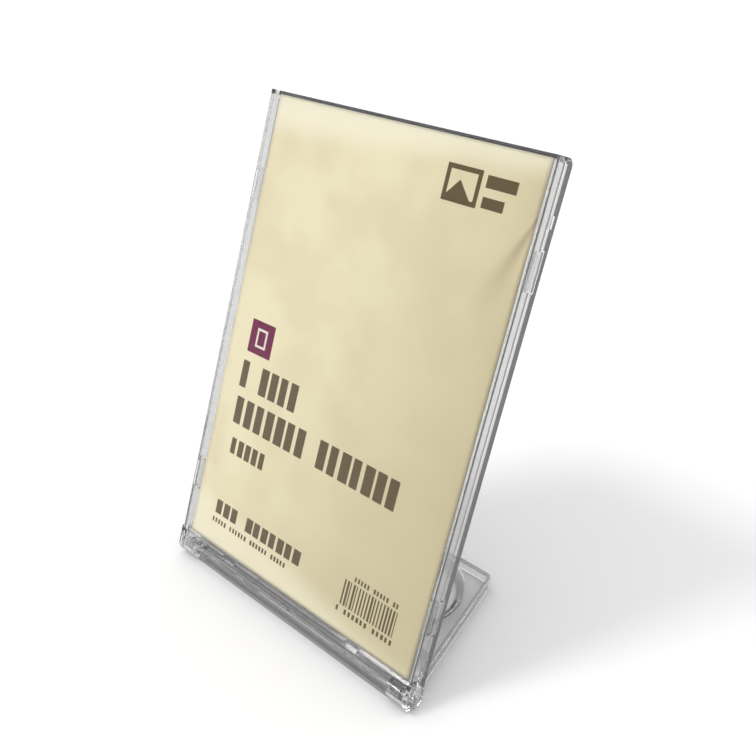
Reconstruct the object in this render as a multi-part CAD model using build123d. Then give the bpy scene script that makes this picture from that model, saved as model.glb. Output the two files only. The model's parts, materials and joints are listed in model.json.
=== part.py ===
from build123d import *
import math
import os

# A clear desk display for one 4R print. The case leans back on a low foot.
# The case is drawn flat first (x across, y up the panel, z out of its front) and leaned at the end.
# The foot tray is drawn standing on the table. Lengths are in mm.

LEAN_DEG = 20.0  # how far the case leans back from upright
FAR = 400.0  # longer than anything here, for trimming blocks

# printed card
CARD_WIDTH = 102.0
CARD_HEIGHT = 152.0
CARD_THICK = 0.3

# case, measured from the card's bottom edge and front face
CASE_HALF = 53.6
CASE_TOP = 153.0
FRONT_FACE = 2.0
PLATE_BACK = 0.3
SHELL_BACK = -6.0
SHELL_WALL = 1.6
SIDE_WALL = 1.4
COVER_EDGE = -2.2
SEAM_GAP = 0.3
PLATE_FOOT = -4.5
EDGE_ROUND = 0.5
CORNER_ROUND = 2.5

# cover ledge and holding tabs
LEDGE_THICK = 1.4
LEDGE_BACK = -2.0
TAB_LOW = 15.0
TAB_HIGH = 26.0
TAB_PITCH = 102.5
TAB_EDGE = -3.9
TAB_RELIEF = 0.35
LIP_FRONT = -0.6
LIP_BACK = -1.8
LIP_REACH = 3.0
LIP_RISE = 3.2
BOTTOM_TAB_MID = 29.0
BOTTOM_TAB_WIDTH = 6.0
BOTTOM_TAB_FOOT = -2.8
PANE_INSET = 0.9
PANE_DEPTH = 0.4

# hinge
HINGE_Y = -6.0
HINGE_Z = -2.0
EAR_RADIUS = 4.0
EAR_INNER_RADIUS = 2.75
EAR_OUTER = 54.1
EAR_SKIN_FROM = 46.2
EAR_FLOOR_GAP = 0.15
EAR_SWEEP = 4.35
PIN_RADIUS = 1.5
PIN_TIP = 46.4
BORE_RADIUS = 1.55
BORE_END = 46.1
BOSS_RADIUS = 2.4
BOSS_FROM = 45.0
BOSS_TIP = 50.2
TEAR_RADIUS = 1.15
TEAR_POINT_RADIUS = 0.35
TEAR_DEPTH = 0.5
SLIT_LENGTH = 2.2
SLIT_WIDTH = 0.6

# back shell
BAR_HALF = 45.8
BAR_TOP = -4.9
BAR_FRONT = -1.5
BAR_WALL = 1.5
BAR_END_WALL = 2.0
SHELL_SIDE_FOOT = -3.4
TOP_WALL_FRONT = -0.9
TOP_WALL_HALF = 51.8
NOTCH_LOW = 134.5
NOTCH_HIGH = 138.0
NOTCH_DEPTH = 0.5
NOTCH_FRONT = -3.6
GATE_WIDTH = 4.0
GATE_DEPTH = 0.6
GATE_HEIGHT = 1.8

# foot
FOOT_HEIGHT = 4.4
FOOT_WALL = 1.6
FOOT_NEAR_HALF = 51.2
FOOT_FAR_HALF = 38.6
FOOT_NEAR = 4.0
FOOT_FAR = 58.5
FOOT_CORNER = 3.0
FOOT_ROUND = 0.5
DISH_MID_X = 18.9
DISH_MID_Y = 35.4
DISH_RADIUS = 20.5
DISH_FLOOR_RADIUS = 17.3
DISH_DEPTH = 2.2
DISH_LIFT = 0.6
FLANGE_TOP = 7.0
FLANGE_HALF = 50.6
FLANGE_THICK = 1.6
FLANGE_EAR_GAP = 0.35
GUSSET_X = 48.0
GUSSET_THICK = 1.6
GUSSET_TOP = 5.0
GUSSET_RUN = 8.0

# hooks that hold the foot
HOOK_MID = 22.0
HOOK_WIDTH = 8.0
HOOK_LOW = 0.5
HOOK_HIGH = 2.5
HOOK_CATCH = 0.9
HOOK_CATCH_THICK = 1.2
HOOK_PLAY = 0.1

SIDES = (-1, 1)

lean = math.radians(LEAN_DEG)
lift = EAR_RADIUS + EAR_FLOOR_GAP - HINGE_Y * math.cos(lean) - HINGE_Z * math.sin(lean)
front_reach = HINGE_Y * math.sin(lean) - HINGE_Z * math.cos(lean) - EAR_RADIUS
centre_y = (front_reach + FOOT_FAR) / 2
lean_place = Pos(0, -centre_y, lift) * Rot(90 - LEAN_DEG, 0, 0)


def block(x0, x1, y0, y1, z0, z1):
    """A box between two corners."""
    middle = Pos((x0 + x1) / 2, (y0 + y1) / 2, (z0 + z1) / 2)
    return middle * Box(abs(x1 - x0), abs(y1 - y0), abs(z1 - z0))


def side_block(side, x0, x1, y0, y1, z0, z1):
    """A box on the left or right half, its x measured outwards."""
    return block(side * x0, side * x1, y0, y1, z0, z1)


def hinge_rod(side, x0, x1, radius):
    """A round bar on the hinge line between two distances from the middle."""
    place = Pos(side * (x0 + x1) / 2, HINGE_Y, HINGE_Z) * Rot(0, 90, 0)
    return place * Cylinder(radius, abs(x1 - x0))


def side_sketch(sketch, side, x0, x1):
    """Extrude a side-view sketch, drawn with x as depth and y as height, across the width."""
    facing = Plane(origin=(side * x0, 0, 0), x_dir=(0, 0, 1), z_dir=(-1, 0, 0))
    return extrude(facing * sketch, amount=-side * (x1 - x0))


def make_card():
    """The printed sheet, flat."""
    card = block(-CARD_WIDTH / 2, CARD_WIDTH / 2, 0, CARD_HEIGHT, -CARD_THICK, 0)
    return lean_place * card


def cover_side(side):
    """One side wall of the cover with its two holding tabs."""
    wall_in = CASE_HALF - SIDE_WALL
    wall = side_block(side, wall_in, CASE_HALF, HINGE_Y, CASE_TOP, COVER_EDGE, FRONT_FACE)
    top_edge = wall.edges().filter_by(Axis.X).sort_by(Axis.Y)[-2:].sort_by(Axis.Z)[0]
    wall = fillet(top_edge, CORNER_ROUND)
    for start in (TAB_LOW, TAB_LOW + TAB_PITCH):
        end = start + TAB_HIGH - TAB_LOW
        wall += side_block(side, wall_in, CASE_HALF, start, end, TAB_EDGE, COVER_EDGE)
        wall += side_block(side, wall_in - LIP_REACH, wall_in, start, end, LIP_BACK, LIP_FRONT)
        wall -= side_block(
            side,
            CASE_HALF - PANE_DEPTH,
            CASE_HALF,
            start + PANE_INSET,
            end - PANE_INSET,
            LIP_BACK,
            FRONT_FACE - PANE_INSET,
        )
    return wall


def ear_recesses():
    """Side view of the shallow tear-drop and slit pressed into the ear."""
    drop = Pos(HINGE_Z + 1.7, HINGE_Y - 1.5) * Circle(TEAR_RADIUS)
    point = Pos(HINGE_Z + 2.3, HINGE_Y + 1.7) * Circle(TEAR_POINT_RADIUS)
    tear = make_hull(drop.edges() + point.edges())
    slit = Pos(HINGE_Z + 0.9, HINGE_Y + 2.6) * SlotOverall(SLIT_LENGTH, SLIT_WIDTH, rotation=90)
    return tear + slit


def cover_ear(side):
    """One round ear: an outer cheek, a curved skin and the pin pointing inwards."""
    wall_in = CASE_HALF - SIDE_WALL
    cheek = hinge_rod(side, wall_in, EAR_OUTER, EAR_RADIUS)
    cheek += side_block(side, wall_in, EAR_OUTER, HINGE_Y, 0, COVER_EDGE, FRONT_FACE)
    cheek -= side_sketch(ear_recesses(), side, EAR_OUTER - TEAR_DEPTH, EAR_OUTER + 1)
    skin = hinge_rod(side, EAR_SKIN_FROM, wall_in, EAR_RADIUS)
    skin -= hinge_rod(side, EAR_SKIN_FROM - 1, wall_in + 1, EAR_INNER_RADIUS)
    skin &= side_block(side, EAR_SKIN_FROM, wall_in, -FAR, HINGE_Y, HINGE_Z, FAR)
    apron = side_block(
        side,
        EAR_SKIN_FROM,
        wall_in,
        HINGE_Y,
        PLATE_FOOT,
        HINGE_Z + EAR_INNER_RADIUS,
        FRONT_FACE,
    )
    pin = hinge_rod(side, PIN_TIP, wall_in, PIN_RADIUS)
    return cheek + skin + apron + pin


def make_front_cover():
    """Clear front: plate, side walls, card ledge, holding tabs and ears."""
    wall_in = CASE_HALF - SIDE_WALL
    cover = block(-CASE_HALF, CASE_HALF, PLATE_FOOT, CASE_TOP, PLATE_BACK, FRONT_FACE)
    cover += block(-wall_in, wall_in, -LEDGE_THICK, 0, LEDGE_BACK, PLATE_BACK)
    for side in SIDES:
        cover += cover_side(side)
    outer_edges = cover.edges().filter_by(Axis.Y).group_by(Axis.Z)[-1]
    cover = fillet(outer_edges, EDGE_ROUND)
    tab_in = BOTTOM_TAB_MID - BOTTOM_TAB_WIDTH / 2
    tab_out = BOTTOM_TAB_MID + BOTTOM_TAB_WIDTH / 2
    for side in SIDES:
        cover += cover_ear(side)
        cover += side_block(side, tab_in, tab_out, BOTTOM_TAB_FOOT, 0, LEDGE_BACK, PLATE_BACK)
        cover += side_block(side, tab_in, tab_out, 0, LIP_RISE, LIP_BACK, LIP_FRONT)
    return lean_place * cover


def shell_side(side):
    """One side wall of the back shell, notched for the cover's tabs."""
    wall_in = CASE_HALF - SIDE_WALL
    wall_front = COVER_EDGE - SEAM_GAP
    wall = side_block(side, wall_in, CASE_HALF, SHELL_SIDE_FOOT, CASE_TOP, SHELL_BACK, wall_front)
    for start in (TAB_LOW, TAB_LOW + TAB_PITCH):
        end = start + TAB_HIGH - TAB_LOW
        wall -= side_block(
            side,
            wall_in - 1,
            CASE_HALF + 1,
            start - TAB_RELIEF,
            end + TAB_RELIEF,
            TAB_EDGE - TAB_RELIEF,
            0,
        )
    wall -= side_block(
        side,
        CASE_HALF - NOTCH_DEPTH,
        CASE_HALF + 1,
        NOTCH_LOW,
        NOTCH_HIGH,
        SHELL_BACK - 1,
        NOTCH_FRONT,
    )
    return wall


def hinge_bar():
    """The bottom bar, a channel open below, with the hinge bores in its ends."""
    hollow_half = BAR_HALF - BAR_END_WALL
    hollow_front = BAR_FRONT - BAR_WALL
    bar = block(-BAR_HALF, BAR_HALF, 3 * HINGE_Y, BAR_TOP, SHELL_BACK, BAR_FRONT)
    bar -= block(
        -hollow_half,
        hollow_half,
        3 * HINGE_Y - 1,
        BAR_TOP - BAR_WALL,
        SHELL_BACK + SHELL_WALL,
        hollow_front,
    )
    for side in SIDES:
        bar += hinge_rod(side, BOSS_FROM, BOSS_TIP, BOSS_RADIUS)
        bar -= hinge_rod(side, BORE_END, BOSS_TIP + 1, BORE_RADIUS)
    bar -= block(0, GATE_WIDTH, BAR_TOP - GATE_HEIGHT, BAR_TOP + 1, BAR_FRONT - GATE_DEPTH, 1)
    return bar


def foot_hooks():
    """Two snap hooks on the back that catch the foot's flange."""
    hooks = []
    stem_back = SHELL_BACK - FLANGE_THICK - HOOK_PLAY
    catch_back = stem_back - HOOK_CATCH_THICK
    for side in SIDES:
        low_x = HOOK_MID - HOOK_WIDTH / 2
        high_x = HOOK_MID + HOOK_WIDTH / 2
        stem = side_block(side, low_x, high_x, HOOK_LOW, HOOK_HIGH, catch_back, SHELL_BACK)
        catch = side_block(
            side,
            low_x,
            high_x,
            HOOK_LOW,
            HOOK_HIGH + HOOK_CATCH,
            catch_back,
            stem_back,
        )
        hooks.append(stem + catch)
    return hooks


def make_back_shell():
    """Clear back: plate, side walls, top wall, hinge bar and hooks."""
    plate_front = SHELL_BACK + SHELL_WALL
    top_low = CASE_TOP - SHELL_WALL
    wall_front = COVER_EDGE - SEAM_GAP
    shell = block(-CASE_HALF, CASE_HALF, SHELL_SIDE_FOOT, CASE_TOP, SHELL_BACK, plate_front)
    shell += block(-CASE_HALF, CASE_HALF, top_low, CASE_TOP, SHELL_BACK, wall_front)
    shell += block(-TOP_WALL_HALF, TOP_WALL_HALF, top_low, CASE_TOP, wall_front, TOP_WALL_FRONT)
    for side in SIDES:
        shell += shell_side(side)
    back_top = shell.edges().filter_by(Axis.X).group_by(Axis.Y)[-1].sort_by(Axis.Z)[0]
    shell = fillet(back_top, CORNER_ROUND)
    for side in SIDES:
        shell -= hinge_rod(side, BAR_HALF, EAR_OUTER + 1, EAR_SWEEP)
    shell += block(-BAR_HALF, BAR_HALF, BAR_TOP, 0, SHELL_BACK, plate_front)
    shell += hinge_bar()
    for hook in foot_hooks():
        shell += hook
    return trim_floor(lean_place * shell)


def trim_floor(solid):
    """Cut a leaned piece level with the table."""
    return solid - block(-FAR, FAR, -FAR, FAR, -FAR, 0)


def foot_outline(inset):
    """Plan of the tray, tapering away from the case, moved in by an inset."""
    slope = (FOOT_NEAR_HALF - FOOT_FAR_HALF) / (FOOT_FAR - FOOT_NEAR)
    far = FOOT_FAR - inset
    near_half = FOOT_NEAR_HALF + slope * FOOT_NEAR - inset
    far_half = FOOT_FAR_HALF + slope * inset - inset
    outline = Polygon((-near_half, 0), (near_half, 0), (far_half, far), (-far_half, far), align=None)
    corners = outline.vertices().sort_by(Axis.Y)[-2:]
    return fillet(corners, FOOT_CORNER - inset)


def dish_outline(radius):
    """A long round-ended oval, its end centres fixed."""
    length = 2 * (DISH_MID_X + radius)
    return Pos(0, DISH_MID_Y) * SlotOverall(length, 2 * radius)


def foot_tray():
    """The open-bottomed tray with a dish sunk in its top."""
    tray = extrude(foot_outline(0), FOOT_HEIGHT)
    top_rim = tray.faces().sort_by(Axis.Z)[-1].edges().filter_by(lambda e: e.center().Y > 1)
    tray = fillet(top_rim, FOOT_ROUND)
    hollow = extrude(foot_outline(FOOT_WALL), FOOT_HEIGHT - FOOT_WALL)
    dish_low = DISH_LIFT
    dish_floor = FOOT_HEIGHT - DISH_DEPTH
    wall_run = DISH_RADIUS - DISH_FLOOR_RADIUS
    under = loft(
        [
            Pos(0, 0, dish_low) * dish_outline(DISH_FLOOR_RADIUS + FOOT_WALL / 2),
            Pos(0, 0, FOOT_HEIGHT) * dish_outline(DISH_RADIUS + FOOT_WALL / 2 + wall_run / 4),
        ]
    )
    sunk = loft(
        [
            Pos(0, 0, dish_floor) * dish_outline(DISH_FLOOR_RADIUS),
            Pos(0, 0, FOOT_HEIGHT) * dish_outline(DISH_RADIUS),
        ]
    )
    tray -= hollow
    tray += under & extrude(foot_outline(FOOT_WALL / 2), FOOT_HEIGHT - FOOT_WALL / 2)
    return tray - sunk


def foot_flange():
    """The short upright that lies on the back of the case, with windows for the hooks."""
    flange_back = SHELL_BACK - FLANGE_THICK
    flange = block(-FLANGE_HALF, FLANGE_HALF, 3 * HINGE_Y, FLANGE_TOP, flange_back, SHELL_BACK)
    for side in SIDES:
        flange -= side_block(
            side,
            BAR_HALF - FLANGE_EAR_GAP,
            FLANGE_HALF + 1,
            3 * HINGE_Y,
            HINGE_Y + EAR_SWEEP,
            SHELL_BACK - FLANGE_EAR_GAP,
            SHELL_BACK + 1,
        )
        flange -= side_block(
            side,
            HOOK_MID - HOOK_WIDTH / 2 - HOOK_PLAY,
            HOOK_MID + HOOK_WIDTH / 2 + HOOK_PLAY,
            HOOK_LOW - HOOK_PLAY,
            HOOK_HIGH + HOOK_PLAY,
            flange_back - 1,
            SHELL_BACK + 1,
        )
    return flange


def foot_gusset(side):
    """A low web between the flange and the tray."""
    low_z = FOOT_HEIGHT - FOOT_WALL
    foot_point = leaned_point(0, SHELL_BACK - FLANGE_THICK / 2, low_z)
    top_y, top_z = leaned(GUSSET_TOP, SHELL_BACK - FLANGE_THICK)
    web = Polygon(
        (foot_point, low_z),
        (foot_point + GUSSET_RUN, low_z),
        (top_y + 1, top_z),
        (top_y - 1, top_z),
        align=None,
    )
    facing = Plane(origin=(side * GUSSET_X, 0, 0), x_dir=(0, 1, 0), z_dir=(1, 0, 0))
    return extrude(facing * web, amount=GUSSET_THICK / 2, both=True)


def leaned(up, out):
    """Table position (y, z) of a point on the case, given up the panel and out of its front."""
    y = up * math.sin(lean) - out * math.cos(lean)
    z = up * math.cos(lean) + out * math.sin(lean) + lift
    return y, z


def leaned_point(up, out, height):
    """How far back the case's plane at a depth lies at a height above the table."""
    level = (height - lift - out * math.sin(lean)) / math.cos(lean)
    return leaned(level, out)[0]


def make_foot():
    """Clear foot: tray, flange and gussets, trimmed to the back of the case."""
    tray = foot_tray()
    for side in SIDES:
        tray += foot_gusset(side)
    case_side = Pos(0, 0, lift) * Rot(90 - LEAN_DEG, 0, 0) * block(
        -FAR, FAR, -FAR, FAR, SHELL_BACK - FLANGE_THICK / 2, FAR
    )
    tray -= case_side
    foot = Pos(0, -centre_y, 0) * tray
    foot += lean_place * foot_flange()
    return trim_floor(foot)


def save(name, shape):
    """Write one piece, named, to its own file."""
    shape.label = name
    export_step(shape, f"parts/{name}.step")


os.makedirs("parts", exist_ok=True)
save("front_cover", make_front_cover())
save("back_shell", make_back_shell())
save("foot", make_foot())
save("insert_card", make_card())
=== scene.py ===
"""A clear desk display with its printed insert card, dressed around the fixed CAD frame."""

import json
import logging
import math
from dataclasses import dataclass
from enum import Enum
from typing import NamedTuple

import bpy
import bmesh
from mathutils import Matrix, Vector

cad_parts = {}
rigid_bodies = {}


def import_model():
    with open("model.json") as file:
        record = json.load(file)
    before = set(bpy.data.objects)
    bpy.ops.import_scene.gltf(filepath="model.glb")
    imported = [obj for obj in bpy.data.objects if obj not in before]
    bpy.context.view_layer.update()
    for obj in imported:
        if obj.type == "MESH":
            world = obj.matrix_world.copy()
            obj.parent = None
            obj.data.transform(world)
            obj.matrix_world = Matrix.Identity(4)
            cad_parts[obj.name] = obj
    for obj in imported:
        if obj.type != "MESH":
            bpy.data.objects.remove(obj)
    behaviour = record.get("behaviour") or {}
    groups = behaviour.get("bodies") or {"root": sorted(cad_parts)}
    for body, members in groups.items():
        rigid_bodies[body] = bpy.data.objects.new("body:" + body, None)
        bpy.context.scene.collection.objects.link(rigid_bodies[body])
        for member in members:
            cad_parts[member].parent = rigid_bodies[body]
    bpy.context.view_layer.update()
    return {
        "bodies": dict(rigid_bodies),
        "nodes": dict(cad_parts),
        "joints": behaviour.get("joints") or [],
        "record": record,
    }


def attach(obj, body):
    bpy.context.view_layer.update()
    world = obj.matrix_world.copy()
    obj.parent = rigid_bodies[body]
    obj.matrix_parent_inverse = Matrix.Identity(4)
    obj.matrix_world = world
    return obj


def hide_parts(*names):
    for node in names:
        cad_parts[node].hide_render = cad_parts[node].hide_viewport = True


LOG = logging.getLogger("desk_display")
MM = 0.001

# The card's foot and front face, in millimetres up and out from the cover's hinge.
CARD_FOOT_OVER_HINGE = 6.0
CARD_FACE_OVER_HINGE = 2.0

# The card's UV map spans this many millimetres each way.
UV_SPAN = 200.0

# The card's soft fold: where it starts, and how it runs inward and down from there.
FOLD_START = (50.0, 134.0)
FOLD_RUN = (0.44, 0.90)

# A panel place that every face of a moulding is beyond.
ANYWHERE = -90.0


class Body(Enum):
    """The CAD body that the made piece rides on."""

    PRINT = "print"


class Finish(Enum):
    """The record's material slots."""

    COVER = "clear_cover"
    SHELL = "clear_shell"
    FOOT = "clear_foot"
    CARD = "card_paper"


class Ink(Enum):
    """The two printing inks and the pale outline on the card, as linear colours."""

    UMBER = (0.118, 0.084, 0.036, 1.0)
    PLUM = (0.160, 0.001, 0.052, 1.0)
    PAPER_WHITE = (0.80, 0.76, 0.64, 1.0)


class Rect(NamedTuple):
    """A printed rectangle's edges, in card millimetres from the middle of the card's foot."""

    left: float
    right: float
    low: float
    high: float


class TypeRow(NamedTuple):
    """One row of plain blocks: its edges in card millimetres and its rhythm.

    pitch is the step from block to block, stroke the inked share of a step, word the number
    of steps from one gap to the next, and phase how far the gaps are moved along.
    """

    edges: Rect
    pitch: float
    stroke: float
    word: float
    phase: float


TYPE_ROWS = (
    TypeRow(Rect(-42.8, -15.2, 57.4, 66.6), pitch=4.62, stroke=0.80, word=50.0, phase=49.0),
    TypeRow(Rect(-42.2, 31.6, 44.6, 54.0), pitch=4.94, stroke=0.80, word=8.0, phase=1.0),
    TypeRow(Rect(-40.6, -23.2, 34.0, 39.6), pitch=3.50, stroke=0.78, word=50.0, phase=1.0),
    TypeRow(Rect(-41.3, 4.2, 11.3, 16.3), pitch=3.86, stroke=0.86, word=8.0, phase=5.0),
    TypeRow(Rect(-41.9, -4.6, 7.9, 9.6), pitch=1.5, stroke=0.66, word=7.0, phase=2.0),
    TypeRow(Rect(23.5, 41.5, 18.0, 19.6), pitch=1.3, stroke=0.64, word=6.0, phase=1.0),
    TypeRow(Rect(19.0, 42.0, 6.3, 8.0), pitch=1.7, stroke=0.62, word=7.0, phase=6.0),
)
STRIPES = Rect(19.9, 41.6, 8.8, 17.2)
STRIPES_PER_MM = 0.8
BADGE = Rect(-42.4, -31.6, 69.8, 81.0)
BADGE_LINE_OUTSIDE = Rect(-39.4, -34.6, 72.2, 78.6)
BADGE_LINE_INSIDE = Rect(-38.6, -35.4, 73.0, 77.8)
PICTURE = Rect(19.4, 31.4, 134.6, 144.8)
PICTURE_INSIDE = Rect(20.8, 30.0, 136.0, 143.4)
LONG_BAR = Rect(33.0, 43.0, 140.6, 144.0)
SHORT_BAR = Rect(33.0, 40.2, 135.2, 138.2)
HILL_TOP = (24.6, 141.0)
HILL_SLOPE = 1.15


@dataclass(frozen=True)
class PanelFrame:
    """The tilted frame of the display's face: right, up the panel, and out of the front."""

    origin: Vector
    up: Vector
    right: Vector = Vector((1.0, 0.0, 0.0))

    @property
    def out(self) -> Vector:
        """The direction straight out of the front plate."""
        return self.right.cross(self.up).normalized()

    def point(self, u: float, v: float, n: float) -> Vector:
        """Returns the row-frame point at panel millimetres u, v, n."""
        return self.origin + MM * (u * self.right + v * self.up + n * self.out)

    @classmethod
    def from_joints(cls, joints: list) -> "PanelFrame":
        """Finds the panel frame from the cover's hinge and the card's slide.

        Args:
            joints: the frame's joint records.

        Returns:
            The frame with its origin at the foot of the card's front face.
        """
        by_name = {j["name"]: j for j in joints}
        up = Vector(by_name["card_slide"]["axis"]).normalized()
        right = Vector((1.0, 0.0, 0.0))
        out = right.cross(up).normalized()
        hinge = Vector(by_name["cover_hinge"]["pos_m"])
        rise = CARD_FOOT_OVER_HINGE * up + CARD_FACE_OVER_HINGE * out
        return cls(origin=hinge + MM * rise, up=up)


class NodeSheet:
    """A small helper that adds and wires shader nodes in one node tree."""

    def __init__(self, tree: bpy.types.NodeTree) -> None:
        """Keeps the tree that nodes are added to."""
        self.tree = tree

    def add(self, kind: str, settings: dict | None = None, **inputs: object) -> bpy.types.Node:
        """Adds a node, sets its properties and fills its sockets.

        Args:
            kind: the node's type name.
            settings: properties set on the node itself.
            inputs: socket values or output sockets, with underscores for spaces.

        Returns:
            The new node.
        """
        node = self.tree.nodes.new(kind)
        for name, value in (settings or {}).items():
            setattr(node, name, value)
        for name, value in inputs.items():
            self.feed(node.inputs[name.replace("_", " ")], value)
        return node

    def feed(self, socket: bpy.types.NodeSocket, value: object) -> None:
        """Links an output socket to a socket, or sets the socket's own value."""
        if isinstance(value, bpy.types.NodeSocket):
            self.tree.links.new(value, socket)
        else:
            socket.default_value = value

    def math(self, operation: str, *terms: object, clamp: bool = False) -> bpy.types.NodeSocket:
        """Adds a Math node.

        Args:
            operation: the Math node's operation.
            terms: one to three numbers or output sockets.
            clamp: keeps the result between 0 and 1.

        Returns:
            The result's socket.
        """
        node = self.add("ShaderNodeMath", {"operation": operation, "use_clamp": clamp})
        for socket, term in zip(node.inputs, terms):
            self.feed(socket, term)
        return node.outputs[0]

    def ramp(self, value: object, low: float, high: float, start: float = 0.0,
             end: float = 1.0) -> bpy.types.NodeSocket:
        """Maps a value from low..high to start..end with soft ends.

        Args:
            value: the socket to map.
            low: the input that gives start.
            high: the input that gives end.
            start: the lowest result.
            end: the highest result.

        Returns:
            The mapped value's socket.
        """
        node = self.add("ShaderNodeMapRange", {"interpolation_type": "SMOOTHSTEP"})
        for name, term in (("Value", value), ("From Min", low), ("From Max", high),
                           ("To Min", start), ("To Max", end)):
            self.feed(node.inputs[name], term)
        return node.outputs["Result"]

    def blend(self, factor: object, first: object, second: object,
              mode: str = "MIX") -> bpy.types.NodeSocket:
        """Mixes two colours.

        Args:
            factor: the share of the second colour.
            first: a colour or an output socket.
            second: a colour or an output socket.
            mode: the blend type.

        Returns:
            The mixed colour's socket.
        """
        node = self.add("ShaderNodeMix", {"data_type": "RGBA", "blend_type": mode})
        self.feed(node.inputs["Factor"], factor)
        self.feed(node.inputs["A"], first)
        self.feed(node.inputs["B"], second)
        return node.outputs["Result"]

    def surface(self, shader: bpy.types.Node) -> None:
        """Adds the material output and links a shader to its surface."""
        out = self.add("ShaderNodeOutputMaterial")
        self.feed(out.inputs["Surface"], shader.outputs[0])

    def noise(self, where: object, scale: float, detail: float = 2.0,
              roughness: float = 0.5) -> bpy.types.NodeSocket:
        """Adds a noise texture and returns its value."""
        return self.add("ShaderNodeTexNoise", Vector=where, Scale=scale, Detail=detail,
                        Roughness=roughness).outputs["Fac"]


def material_sheet(name: str) -> tuple:
    """Makes a material with an empty node tree.

    Args:
        name: the material's name.

    Returns:
        The material and its NodeSheet.
    """
    material = bpy.data.materials.new(name)
    material.use_nodes = True
    material.node_tree.nodes.clear()
    return material, NodeSheet(material.node_tree)


def group_sheet(name: str, inputs: tuple, outputs: tuple) -> tuple:
    """Makes an empty shader node group.

    Args:
        name: the group's name.
        inputs: (name, socket type, default value) for each input.
        outputs: (name, socket type) for each output.

    Returns:
        The group tree, its NodeSheet, its input node and its output node.
    """
    tree = bpy.data.node_groups.new(name, "ShaderNodeTree")
    for label, kind, value in inputs:
        socket = tree.interface.new_socket(label, in_out="INPUT", socket_type=kind)
        if value is not None:
            socket.default_value = value
    for label, kind in outputs:
        tree.interface.new_socket(label, in_out="OUTPUT", socket_type=kind)
    sheet = NodeSheet(tree)
    return tree, sheet, sheet.add("NodeGroupInput"), sheet.add("NodeGroupOutput")


def handling_marks() -> bpy.types.NodeTree:
    """Builds the group that gives plastic its hairline scratches, smudges and flow ripple.

    Returns:
        A group with Vector, Scratch and Smudge in, Roughness and Height out.
    """
    tree, sheet, given, result = group_sheet(
        "handling_marks",
        (("Vector", "NodeSocketVector", None), ("Scratch", "NodeSocketFloat", 0.5),
         ("Smudge", "NodeSocketFloat", 0.5), ("Base Roughness", "NodeSocketFloat", 0.03)),
        (("Roughness", "NodeSocketFloat"), ("Height", "NodeSocketFloat")))
    where = given.outputs["Vector"]
    hairlines = []
    for turn, stretch in ((0.35, 26.0), (-0.9, 34.0)):
        mapped = sheet.add("ShaderNodeMapping", Vector=where, Rotation=(turn, turn * 0.6, turn),
                           Scale=(stretch * 12.0, stretch, stretch * 12.0)).outputs["Vector"]
        line = sheet.noise(mapped, 1.6, 3.0, 0.6)
        hairlines.append(sheet.ramp(line, 0.66, 0.72))
    scratch = sheet.math("MAXIMUM", *hairlines)
    scratch = sheet.math("MULTIPLY", scratch, given.outputs["Scratch"])
    smudge = sheet.ramp(sheet.noise(where, 60.0, 4.0, 0.6), 0.45, 0.75)
    smudge = sheet.math("MULTIPLY", smudge, given.outputs["Smudge"])
    ripple = sheet.noise(where, 22.0, 1.0)
    rough = sheet.math("MULTIPLY_ADD", scratch, 0.16, given.outputs["Base Roughness"])
    rough = sheet.math("MULTIPLY_ADD", smudge, 0.05, rough, clamp=True)
    height = sheet.math("MULTIPLY_ADD", scratch, -0.08, ripple)
    sheet.feed(result.inputs["Roughness"], rough)
    sheet.feed(result.inputs["Height"], height)
    return tree


def letter_row() -> bpy.types.NodeTree:
    """Builds the group that prints one row of plain blocks, as in a dummy layout.

    Returns:
        A group with the card's X and Y in millimetres and the row's edges in, Mask out.
    """
    tree, sheet, given, result = group_sheet(
        "dummy_type_row",
        (("X", "NodeSocketFloat", 0.0), ("Y", "NodeSocketFloat", 0.0),
         ("Left", "NodeSocketFloat", 0.0), ("Right", "NodeSocketFloat", 10.0),
         ("Bottom", "NodeSocketFloat", 0.0), ("Top", "NodeSocketFloat", 5.0),
         ("Pitch", "NodeSocketFloat", 3.0), ("Stroke", "NodeSocketFloat", 0.75),
         ("Word", "NodeSocketFloat", 5.0), ("Phase", "NodeSocketFloat", 1.0)),
        (("Mask", "NodeSocketFloat"),))
    x, y = given.outputs["X"], given.outputs["Y"]
    step = sheet.math("DIVIDE", sheet.math("SUBTRACT", x, given.outputs["Left"]),
                      given.outputs["Pitch"])
    inside = sheet.math("FRACT", step)
    count = sheet.math("FLOOR", step)
    chance = sheet.add("ShaderNodeTexWhiteNoise", {"noise_dimensions": "1D"},
                       W=sheet.math("ADD", count, given.outputs["Word"])).outputs["Value"]
    width = sheet.math("MULTIPLY_ADD", chance, -0.16, given.outputs["Stroke"])
    block = sheet.math("LESS_THAN", inside, width)
    beat = sheet.math("MODULO", sheet.math("ADD", count, given.outputs["Phase"]),
                      given.outputs["Word"])
    block = sheet.math("MULTIPLY", block, sheet.math("GREATER_THAN", beat, 0.5))
    across = sheet.math("MULTIPLY", sheet.math("GREATER_THAN", x, given.outputs["Left"]),
                        sheet.math("LESS_THAN", x, given.outputs["Right"]))
    upright = sheet.math("MULTIPLY", sheet.math("GREATER_THAN", y, given.outputs["Bottom"]),
                         sheet.math("LESS_THAN", y, given.outputs["Top"]))
    mask = sheet.math("MULTIPLY", sheet.math("MULTIPLY", across, upright), block)
    sheet.feed(result.inputs["Mask"], mask)
    return tree


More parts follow.
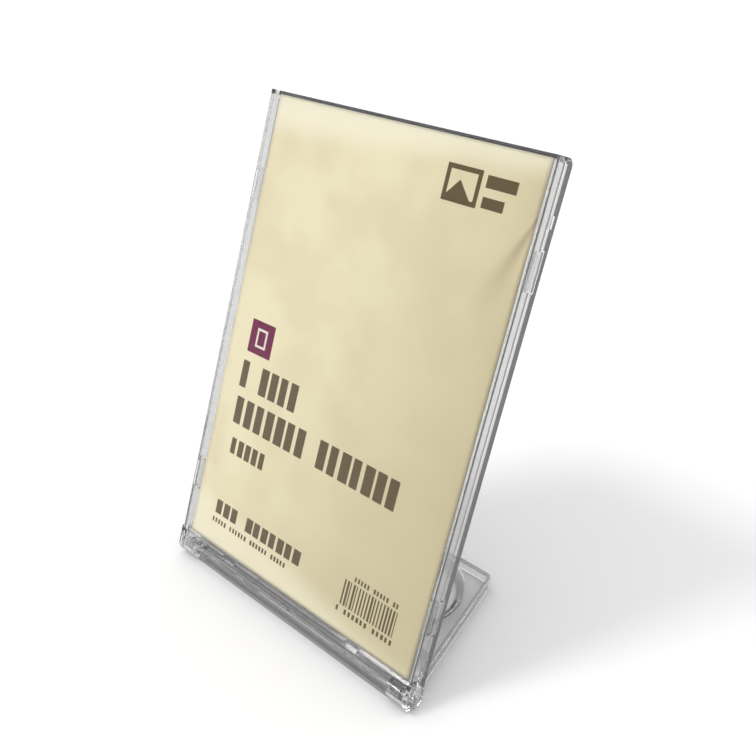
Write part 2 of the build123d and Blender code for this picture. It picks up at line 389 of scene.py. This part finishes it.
def printed_block() -> bpy.types.NodeTree:
    """Builds the group that prints one plain rectangle.

    Returns:
        A group with the card's X and Y and the rectangle's edges in, Mask out.
    """
    tree, sheet, given, result = group_sheet(
        "printed_block",
        tuple((label, "NodeSocketFloat", 0.0)
              for label in ("X", "Y", "Left", "Right", "Bottom", "Top")),
        (("Mask", "NodeSocketFloat"),))
    mask = None
    for axis, low, high in (("X", "Left", "Right"), ("Y", "Bottom", "Top")):
        here = given.outputs[axis]
        band = sheet.math("MULTIPLY", sheet.math("GREATER_THAN", here, given.outputs[low]),
                          sheet.math("LESS_THAN", here, given.outputs[high]))
        mask = band if mask is None else sheet.math("MULTIPLY", mask, band)
    sheet.feed(result.inputs["Mask"], mask)
    return tree


@dataclass(frozen=True)
class ClearPlastic:
    """Clear moulded polystyrene with light handling marks and a trace of haze.

    gleam scales the surface reflection. shadow is the plain colour that shadow and diffuse
    rays see in place of the plastic.
    """

    name: str
    tint: tuple = (0.93, 0.93, 0.94, 1.0)
    clearness: float = 0.98
    scratch: float = 0.4
    smudge: float = 0.4
    base_roughness: float = 0.04
    refraction: float = 1.58
    relief: float = 0.05
    gleam: tuple = (1.0, 1.0, 1.0, 1.0)
    shadow: tuple = (0.93, 0.93, 0.935, 1.0)
    relief_depth: float = 0.0002
    tone_scale: float = 35.0
    tone_drop: float = 0.97

    def material(self, marks: bpy.types.NodeTree) -> bpy.types.Material:
        """Builds the plastic's material.

        Args:
            marks: the handling_marks group.

        Returns:
            The material.
        """
        material, sheet = material_sheet(self.name)
        where = sheet.add("ShaderNodeTexCoord").outputs["Object"]
        wear = sheet.add("ShaderNodeGroup", {"node_tree": marks}, Vector=where,
                         Scratch=self.scratch, Smudge=self.smudge,
                         Base_Roughness=self.base_roughness)
        bump = sheet.add("ShaderNodeBump", Strength=self.relief, Distance=self.relief_depth,
                         Height=wear.outputs["Height"])
        deeper = tuple(self.tone_drop * c for c in self.tint[:3]) + (1.0,)
        colour = sheet.blend(sheet.noise(where, self.tone_scale), self.tint, deeper)
        plastic = sheet.add("ShaderNodeBsdfPrincipled", Base_Color=colour,
                            Roughness=wear.outputs["Roughness"], IOR=self.refraction,
                            Transmission_Weight=self.clearness, Specular_Tint=self.gleam,
                            Normal=bump.outputs["Normal"])
        see_through = sheet.add("ShaderNodeBsdfTransparent", Color=self.shadow)
        path = sheet.add("ShaderNodeLightPath")
        mix = sheet.add("ShaderNodeMixShader")
        sheet.feed(mix.inputs[0], sheet.math("MAXIMUM", path.outputs["Is Shadow Ray"],
                                             path.outputs["Is Diffuse Ray"]))
        sheet.feed(mix.inputs[1], plastic.outputs[0])
        sheet.feed(mix.inputs[2], see_through.outputs[0])
        sheet.surface(mix)
        return material


@dataclass(frozen=True)
class CoatedCard:
    """The insert card's warm coated paper with its dummy layout printed in two inks."""

    name: str = "coated_card"
    paper: tuple = (0.87, 0.795, 0.525, 1.0)
    paper_shade: tuple = (0.80, 0.715, 0.460, 1.0)
    # The lighter band along the card's top edge and the lighter strip along its foot are painted
    # highlights, standing in for reflections and light on the card.
    paper_highlight: tuple = (0.94, 0.885, 0.665, 1.0)
    # The paper's darker right and lower-right side is painted shade, standing in for the light
    # falling off across the card.
    paper_right_shade: tuple = (0.56, 0.490, 0.290, 1.0)
    # The dark streak along the soft fold is painted shade.
    paper_fold_shade: tuple = (0.45, 0.355, 0.215, 1.0)
    back_light: tuple = (0.80, 0.79, 0.75, 1.0)
    back_shade: tuple = (0.72, 0.71, 0.67, 1.0)
    gloss: float = 0.15
    right_shade_span: tuple = (-70.0, 40.0)
    top_highlight: tuple = (140.5, 151.5)
    foot_highlight: tuple = (13.0, 2.0)
    wave_depth: float = 0.0009
    grain_depth: float = 0.00008
    back_grain_depth: float = 0.0001

    def material(self, row: bpy.types.NodeTree, block: bpy.types.NodeTree) -> bpy.types.Material:
        """Builds the card's material.

        Args:
            row: the dummy_type_row group.
            block: the printed_block group.

        Returns:
            The material.
        """
        material, sheet = material_sheet(self.name)
        place = sheet.add("ShaderNodeUVMap", {"uv_map": "card"}).outputs["UV"]
        apart = sheet.add("ShaderNodeSeparateXYZ", Vector=place)
        x = sheet.math("MULTIPLY_ADD", apart.outputs["X"], UV_SPAN, -UV_SPAN / 2.0)
        y = sheet.math("MULTIPLY", apart.outputs["Y"], UV_SPAN)
        umber = None
        for line in TYPE_ROWS:
            node = sheet.add("ShaderNodeGroup", {"node_tree": row}, X=x, Y=y,
                             Left=line.edges.left, Right=line.edges.right,
                             Bottom=line.edges.low, Top=line.edges.high, Pitch=line.pitch,
                             Stroke=line.stroke, Word=line.word, Phase=line.phase)
            mask = node.outputs["Mask"]
            umber = mask if umber is None else sheet.math("MAXIMUM", umber, mask)
        step = sheet.math("MULTIPLY", x, STRIPES_PER_MM)
        chance = sheet.add("ShaderNodeTexWhiteNoise", {"noise_dimensions": "1D"},
                           W=sheet.math("FLOOR", step)).outputs["Value"]
        stripe = sheet.math("LESS_THAN", sheet.math("FRACT", step),
                            sheet.math("MULTIPLY_ADD", chance, 0.40, 0.34))
        bars = sheet.math("MULTIPLY", stripe, self.patch(sheet, block, x, y, STRIPES))
        umber = sheet.math("MAXIMUM", umber, bars)
        umber = sheet.math("MAXIMUM", umber, self.emblem(sheet, block, x, y))
        outline = sheet.math("SUBTRACT", self.patch(sheet, block, x, y, BADGE_LINE_OUTSIDE),
                             self.patch(sheet, block, x, y, BADGE_LINE_INSIDE))
        plum = sheet.math("SUBTRACT", self.patch(sheet, block, x, y, BADGE), outline,
                          clamp=True)

        cloud = sheet.noise(place, 9.0, 2.0)
        fibre = sheet.noise(place, 620.0, 3.0, 0.7)
        paper = sheet.blend(sheet.ramp(cloud, 0.35, 0.68), self.paper, self.paper_shade)
        # Painted shade: the paper darkens towards the right and lower right.
        right_shade = sheet.ramp(sheet.math("MULTIPLY_ADD", y, -0.35, x), *self.right_shade_span, 0.0, 0.85)
        paper = sheet.blend(right_shade, paper, self.paper_right_shade)
        # Painted highlight: a lighter band along the card's top edge.
        sweep = sheet.math("MULTIPLY_ADD", x, -0.07, y)
        paper = sheet.blend(sheet.ramp(sweep, *self.top_highlight), paper, self.paper_highlight)
        # Painted highlight: a lighter strip along the card's foot.
        sweep = sheet.math("MULTIPLY_ADD", x, 0.15, y)
        paper = sheet.blend(sheet.ramp(sweep, *self.foot_highlight, 0.0, 0.55), paper,
                            self.paper_highlight)
        paper = sheet.blend(sheet.ramp(fibre, 0.4, 0.8, 0.0, 0.10), paper, self.paper_shade)
        # Painted shade: a dark streak along the soft fold.
        paper = sheet.blend(self.fold_shade(sheet, x, y), paper, self.paper_fold_shade)
        colour = sheet.blend(umber, paper, Ink.UMBER.value)
        colour = sheet.blend(plum, colour, Ink.PLUM.value)
        colour = sheet.blend(outline, colour, Ink.PAPER_WHITE.value)
        inked = sheet.math("MAXIMUM", umber, plum)
        rough = sheet.math("MULTIPLY_ADD", inked, -0.12, sheet.ramp(fibre, 0.3, 0.8, 0.42, 0.55))
        wave = sheet.add("ShaderNodeBump", Strength=1.0, Distance=self.wave_depth,
                         Height=sheet.noise(place, 7.0, 1.0))
        bump = sheet.add("ShaderNodeBump", Strength=0.12, Distance=self.grain_depth,
                         Height=fibre, Normal=wave.outputs["Normal"])
        coat = sheet.add("ShaderNodeBsdfPrincipled", Base_Color=colour, Roughness=rough,
                         Specular_IOR_Level=self.gloss, Normal=bump.outputs["Normal"])
        sheet.surface(coat)
        return material

    def plain_back(self) -> bpy.types.Material:
        """Builds the card's unprinted back: plain paper with a fibre grain.

        Returns:
            The material.
        """
        material, sheet = material_sheet("plain_card_back")
        place = sheet.add("ShaderNodeUVMap", {"uv_map": "card"}).outputs["UV"]
        fibre = sheet.noise(place, 480.0, 4.0, 0.7)
        cloud = sheet.noise(place, 11.0, 2.0)
        tone = sheet.math("MULTIPLY_ADD", fibre, 0.8, sheet.math("MULTIPLY", cloud, 0.2))
        colour = sheet.blend(sheet.ramp(tone, 0.35, 0.65), self.back_light, self.back_shade)
        bump = sheet.add("ShaderNodeBump", Strength=0.25, Distance=self.back_grain_depth,
                         Height=fibre)
        board = sheet.add("ShaderNodeBsdfPrincipled", Base_Color=colour,
                          Roughness=sheet.ramp(fibre, 0.3, 0.8, 0.78, 0.92),
                          Normal=bump.outputs["Normal"])
        sheet.surface(board)
        return material

    def fold_shade(self, sheet: NodeSheet, x: object, y: object) -> bpy.types.NodeSocket:
        """Returns the mask of the painted shade along the soft fold that runs in from the card's
        upper right edge.
        """
        run_in, run_down = FOLD_RUN
        inward = sheet.math("SUBTRACT", FOLD_START[0], x)
        below = sheet.math("SUBTRACT", FOLD_START[1], y)
        along = sheet.math("MULTIPLY_ADD", inward, run_in,
                           sheet.math("MULTIPLY", below, run_down))
        aside = sheet.math("MULTIPLY_ADD", inward, run_down,
                           sheet.math("MULTIPLY", below, -run_in))
        reach = sheet.math("ABSOLUTE", sheet.math("MULTIPLY_ADD", along, 0.10, aside))
        spread = sheet.math("MULTIPLY_ADD", sheet.math("MAXIMUM", along, 0.0), 0.24, 0.9)
        near = sheet.ramp(sheet.math("DIVIDE", reach, spread), 1.0, 0.0)
        fade = sheet.ramp(along, 32.0, 1.0)
        return sheet.math("MULTIPLY", near, sheet.math("MULTIPLY", fade, 0.8))

    def patch(self, sheet: NodeSheet, block: bpy.types.NodeTree, x: object, y: object,
              edges: Rect) -> bpy.types.NodeSocket:
        """Returns the mask of one printed rectangle."""
        return sheet.add("ShaderNodeGroup", {"node_tree": block}, X=x, Y=y, Left=edges.left,
                         Right=edges.right, Bottom=edges.low, Top=edges.high).outputs["Mask"]

    def emblem(self, sheet: NodeSheet, block: bpy.types.NodeTree, x: object,
               y: object) -> bpy.types.NodeSocket:
        """Returns the mask of a plain picture sign: a framed hill and two bars beside it."""
        inside = self.patch(sheet, block, x, y, PICTURE_INSIDE)
        frame = sheet.math("SUBTRACT", self.patch(sheet, block, x, y, PICTURE), inside)
        slope = sheet.math("ABSOLUTE", sheet.math("SUBTRACT", x, HILL_TOP[0]))
        peak = sheet.math("SUBTRACT", HILL_TOP[1], sheet.math("MULTIPLY", slope, HILL_SLOPE))
        hill = sheet.math("MULTIPLY", sheet.math("LESS_THAN", y, peak), inside)
        bars = sheet.math("MAXIMUM", self.patch(sheet, block, x, y, LONG_BAR),
                          self.patch(sheet, block, x, y, SHORT_BAR))
        return sheet.math("MAXIMUM", sheet.math("MAXIMUM", frame, hill), bars)


@dataclass(frozen=True)
class Moulding:
    """One clear moulding: its record slot, its flat panes and its thick edges.

    A face is pane where it looks along facing, in front of least_out and above least_up, both
    in panel millimetres.
    """

    finish: Finish
    pane: ClearPlastic
    edge: ClearPlastic
    facing: Vector
    least_out: float
    least_up: float


@dataclass
class ClearCase:
    """The three clear mouldings: the hinged front cover, the back shell and the foot."""

    nodes: dict
    frame: PanelFrame
    flatness: float = 0.95
    # The edges' grey tint is painted shade: it stands in for the dark room that the real edges
    # reflect, while each real moulding is one plastic throughout.
    edge_shade_tint: tuple = (0.79, 0.782, 0.77, 1.0)
    edge_shadow: tuple = (0.33, 0.33, 0.34, 1.0)
    bar_shadow: tuple = (0.36, 0.36, 0.365, 1.0)

    def mouldings(self) -> dict:
        """Returns each moulding's finishes by its node's name."""
        return {
            "front_cover": Moulding(
                Finish.COVER,
                ClearPlastic("cover_pane", tint=(0.97, 0.97, 0.975, 1.0), clearness=0.995,
                             scratch=0.2, relief=0.012, gleam=(0.06, 0.06, 0.06, 1.0)),
                ClearPlastic("cover_edge", tint=self.edge_shade_tint, clearness=0.90, scratch=0.0,
                             smudge=0.1, relief=0.0, shadow=self.edge_shadow),
                facing=self.frame.out, least_out=0.2, least_up=-20.0),
            "back_shell": Moulding(
                Finish.SHELL,
                ClearPlastic("shell_pane", clearness=0.97, scratch=0.2, relief=0.012,
                             shadow=(0.90, 0.90, 0.91, 1.0)),
                ClearPlastic("shell_edge", tint=self.edge_shade_tint, clearness=0.94, scratch=0.0,
                             smudge=0.1, relief=0.0, shadow=self.bar_shadow),
                facing=self.frame.out, least_out=-6.2, least_up=-1.0),
            "foot": Moulding(
                Finish.FOOT,
                ClearPlastic("foot_pane", tint=(0.98, 0.98, 0.985, 1.0), clearness=0.985,
                             relief=0.02, shadow=(0.86, 0.86, 0.865, 1.0)),
                ClearPlastic("foot_edge", tint=(0.97, 0.97, 0.975, 1.0), clearness=0.95,
                             scratch=0.1, relief=0.01, shadow=(0.36, 0.36, 0.37, 1.0)),
                facing=Vector((0.0, 0.0, 1.0)), least_out=ANYWHERE, least_up=ANYWHERE),
        }

    def dress(self, marks: bpy.types.NodeTree) -> None:
        """Gives each moulding clear plastic on its panes and greyer, hazier plastic on its
        edges. The edges' grey is painted shade.

        Args:
            marks: the handling_marks group.
        """
        for name, moulding in self.mouldings().items():
            piece = self.nodes[name]
            piece.data.materials.clear()
            piece.data.materials.append(moulding.pane.material(marks))
            piece.data.materials.append(moulding.edge.material(marks))
            for face in piece.data.polygons:
                flat = abs(face.normal.dot(moulding.facing)) > self.flatness
                place = (face.center - self.frame.origin) / MM
                is_pane = (flat and place.dot(self.frame.out) > moulding.least_out
                           and place.dot(self.frame.up) > moulding.least_up)
                face.material_index = 0 if is_pane else 1
            LOG.info("%s dressed: %d faces", name, len(piece.data.polygons))


@dataclass
class InsertCard:
    """The loose printed card behind the cover's plate, slightly bowed and creased."""

    frame: PanelFrame
    half_width: float = 51.0
    height: float = 152.0
    thickness: float = 0.28
    side_shift: float = 0.9
    bow_depth: float = 0.55
    fold_depth: float = 0.30
    fold_middle: float = 6.0
    fold_length: float = 16.0
    fold_width: float = 3.6
    dent_depth: float = 0.20
    dent_place: tuple = (-49.0, 43.0)
    dent_size: tuple = (5.0, 6.0)
    columns: int = 68
    rows: int = 100

    def bow(self, u: float, v: float) -> float:
        """Returns how far the card's front stands from its flat plane, in millimetres."""
        across = 1.0 - (u / self.half_width) ** 2
        bowed = self.bow_depth * across * math.sin(math.pi * v / self.height)
        inward, below = FOLD_START[0] - u, FOLD_START[1] - v
        along = inward * FOLD_RUN[0] + below * FOLD_RUN[1]
        aside = inward * FOLD_RUN[1] - below * FOLD_RUN[0]
        folded = self.fold_depth * math.exp(-((along - self.fold_middle) / self.fold_length) ** 2
                                            - (aside / self.fold_width) ** 2)
        dent_u = (u - self.dent_place[0]) / self.dent_size[0]
        dent_v = (v - self.dent_place[1]) / self.dent_size[1]
        dented = self.dent_depth * math.exp(-dent_u ** 2 - dent_v ** 2)
        return -(bowed + folded + dented)

    def build(self) -> bpy.types.Object:
        """Builds the card as one thin closed sheet with a card-sized UV map.

        Returns:
            The card object, in the row frame.
        """
        mesh = bmesh.new()
        layer = mesh.loops.layers.uv.new("card")
        grid = {}
        for side, drop in (("front", 0.0), ("back", -self.thickness)):
            for i in range(self.columns + 1):
                for j in range(self.rows + 1):
                    u = self.half_width * (2.0 * i / self.columns - 1.0)
                    v = self.height * j / self.rows
                    place = self.frame.point(u + self.side_shift, v, self.bow(u, v) + drop)
                    grid[side, i, j] = (mesh.verts.new(place), u, v)
        self._skin(mesh, layer, grid)
        data = bpy.data.meshes.new("insert_card_sheet")
        mesh.normal_update()
        mesh.to_mesh(data)
        mesh.free()
        card = bpy.data.objects.new("printed_insert_card", data)
        bpy.context.scene.collection.objects.link(card)
        for face in data.polygons:
            face.use_smooth = abs(face.normal.dot(self.frame.out)) > 0.5
        return card

    def _skin(self, mesh: bmesh.types.BMesh, layer: object, grid: dict) -> None:
        """Closes the two grids into one sheet and lays out its UVs."""
        def face(corners: list) -> None:
            """Adds one quad with the card's millimetres as its UVs."""
            made = mesh.faces.new([grid[c][0] for c in corners])
            for loop, corner in zip(made.loops, corners):
                _, u, v = grid[corner]
                loop[layer].uv = ((u + UV_SPAN / 2.0) / UV_SPAN, v / UV_SPAN)

        for i in range(self.columns):
            for j in range(self.rows):
                ring = [(i, j), (i + 1, j), (i + 1, j + 1), (i, j + 1)]
                face([("front", *c) for c in ring])
                face([("back", *c) for c in reversed(ring)])
        edge = [(i, 0) for i in range(self.columns)]
        edge += [(self.columns, j) for j in range(self.rows)]
        edge += [(i, self.rows) for i in range(self.columns, 0, -1)]
        edge += [(0, j) for j in range(self.rows, 0, -1)]
        for first, second in zip(edge, edge[1:] + edge[:1]):
            face([("front", *second), ("front", *first), ("back", *first), ("back", *second)])

    def dress(self, card: bpy.types.Object, printed: bpy.types.Material,
              plain: bpy.types.Material) -> None:
        """Gives the card its printed face and plain back, and hangs it on its body.

        Args:
            card: the card object.
            printed: the printed paper of its front and edges.
            plain: the bare paper of its back.
        """
        card.data.materials.append(printed)
        card.data.materials.append(plain)
        for face in card.data.polygons:
            face.material_index = 1 if face.normal.dot(self.frame.out) < -0.5 else 0
        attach(card, Body.PRINT.value)
        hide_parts("insert_card")
        LOG.info("printed insert card built: %d faces", len(card.data.polygons))


@dataclass
class Studio:
    """A pale table, one soft window, a pale sky and the camera."""

    floor_size: float = 60.0
    window_from: tuple = (-0.379, -0.51, 0.772)
    window_spread: float = 16.0
    window_strength: float = 1.15
    sky_low: tuple = (0.50, 0.50, 0.515, 1.0)
    sky_high: tuple = (1.10, 1.10, 1.10, 1.0)
    sky_rise: tuple = (0.22, 0.75)
    sky_rim: tuple = (0.24, 0.0)
    sky_rim_share: float = 0.9
    table_light: tuple = (0.90, 0.90, 0.895, 1.0)
    table_shade: tuple = (0.86, 0.86, 0.86, 1.0)
    camera_place: tuple = (0.1758, -0.1738, 0.2209)
    camera_look: tuple = (-0.592, 0.636, -0.495)
    lens: float = 44.32

    def build(self) -> None:
        """Builds the table, the sky, the window's light and the camera."""
        self._floor()
        self._surroundings()
        self._window_light(self.window_from, self.window_spread, self.window_strength)
        self._camera()
        bpy.context.scene.view_settings.view_transform = "Standard"
        LOG.info("studio built")

    def _floor(self) -> None:
        """Lays the pale table top."""
        mesh = bmesh.new()
        bmesh.ops.create_grid(mesh, x_segments=1, y_segments=1, size=self.floor_size / 2.0)
        data = bpy.data.meshes.new("table_top")
        mesh.to_mesh(data)
        mesh.free()
        floor = bpy.data.objects.new("table_top", data)
        bpy.context.scene.collection.objects.link(floor)
        material = bpy.data.materials.new("table_white")
        material.use_nodes = True
        sheet = NodeSheet(material.node_tree)
        shader = material.node_tree.nodes["Principled BSDF"]
        where = sheet.add("ShaderNodeTexCoord").outputs["Object"]
        grain = sheet.noise(where, 3.0)
        sheet.feed(shader.inputs["Base Color"],
                   sheet.blend(grain, self.table_light, self.table_shade))
        shader.inputs["Roughness"].default_value = 0.7
        data.materials.append(material)

    def _surroundings(self) -> None:
        """Surrounds the table with a soft pale sky, brighter overhead and at its rim."""
        world = bpy.data.worlds.new("studio")
        bpy.context.scene.world = world
        world.use_nodes = True
        sheet = NodeSheet(world.node_tree)
        background = world.node_tree.nodes["Background"]
        around = sheet.add("ShaderNodeTexCoord").outputs["Generated"]
        height = sheet.add("ShaderNodeSeparateXYZ", Vector=around).outputs["Z"]
        sky = sheet.math("MAXIMUM", sheet.ramp(height, *self.sky_rise),
                         sheet.ramp(height, *self.sky_rim, 0.0, self.sky_rim_share))
        colour = sheet.blend(sky, self.sky_low, self.sky_high)
        sheet.feed(background.inputs["Color"], colour)
        background.inputs["Strength"].default_value = 1.0  # colours carry the brightness

    def _window_light(self, direction: tuple, spread: float, strength: float) -> None:
        """Lights the table evenly from one soft, far-off window.

        Args:
            direction: where the light comes from.
            spread: the window's width as seen from the table, in degrees.
            strength: the light's strength.
        """
        lamp = bpy.data.lights.new("window_light", "SUN")
        lamp.angle = math.radians(spread)
        lamp.energy = strength
        holder = bpy.data.objects.new("window_light", lamp)
        bpy.context.scene.collection.objects.link(holder)
        holder.rotation_euler = (-Vector(direction)).to_track_quat("-Z", "Y").to_euler()

    def _camera(self) -> None:
        """Stands the camera in front, right of the display and above it."""
        data = bpy.data.cameras.new("camera")
        data.lens = self.lens
        data.sensor_width = 36.0
        data.clip_start = 0.01
        camera = bpy.data.objects.new("camera", data)
        bpy.context.scene.collection.objects.link(camera)
        look = Vector(self.camera_look).normalized()
        side = look.cross(Vector((0.0, 0.0, 1.0))).normalized()
        top = side.cross(look)
        turn = Matrix((side, top, -look)).transposed().to_4x4()
        camera.matrix_world = Matrix.Translation(self.camera_place) @ turn
        bpy.context.scene.camera = camera


def main() -> None:
    """Builds every piece in order."""
    logging.basicConfig(level=logging.INFO, format="%(name)s: %(message)s")
    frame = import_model()
    panel = PanelFrame.from_joints(frame["joints"])
    case = ClearCase(frame["nodes"], panel)
    case.dress(handling_marks())
    insert = InsertCard(panel)
    paper = CoatedCard()
    insert.dress(insert.build(), paper.material(letter_row(), printed_block()),
                 paper.plain_back())
    Studio().build()


if __name__ == "__main__":
    main()
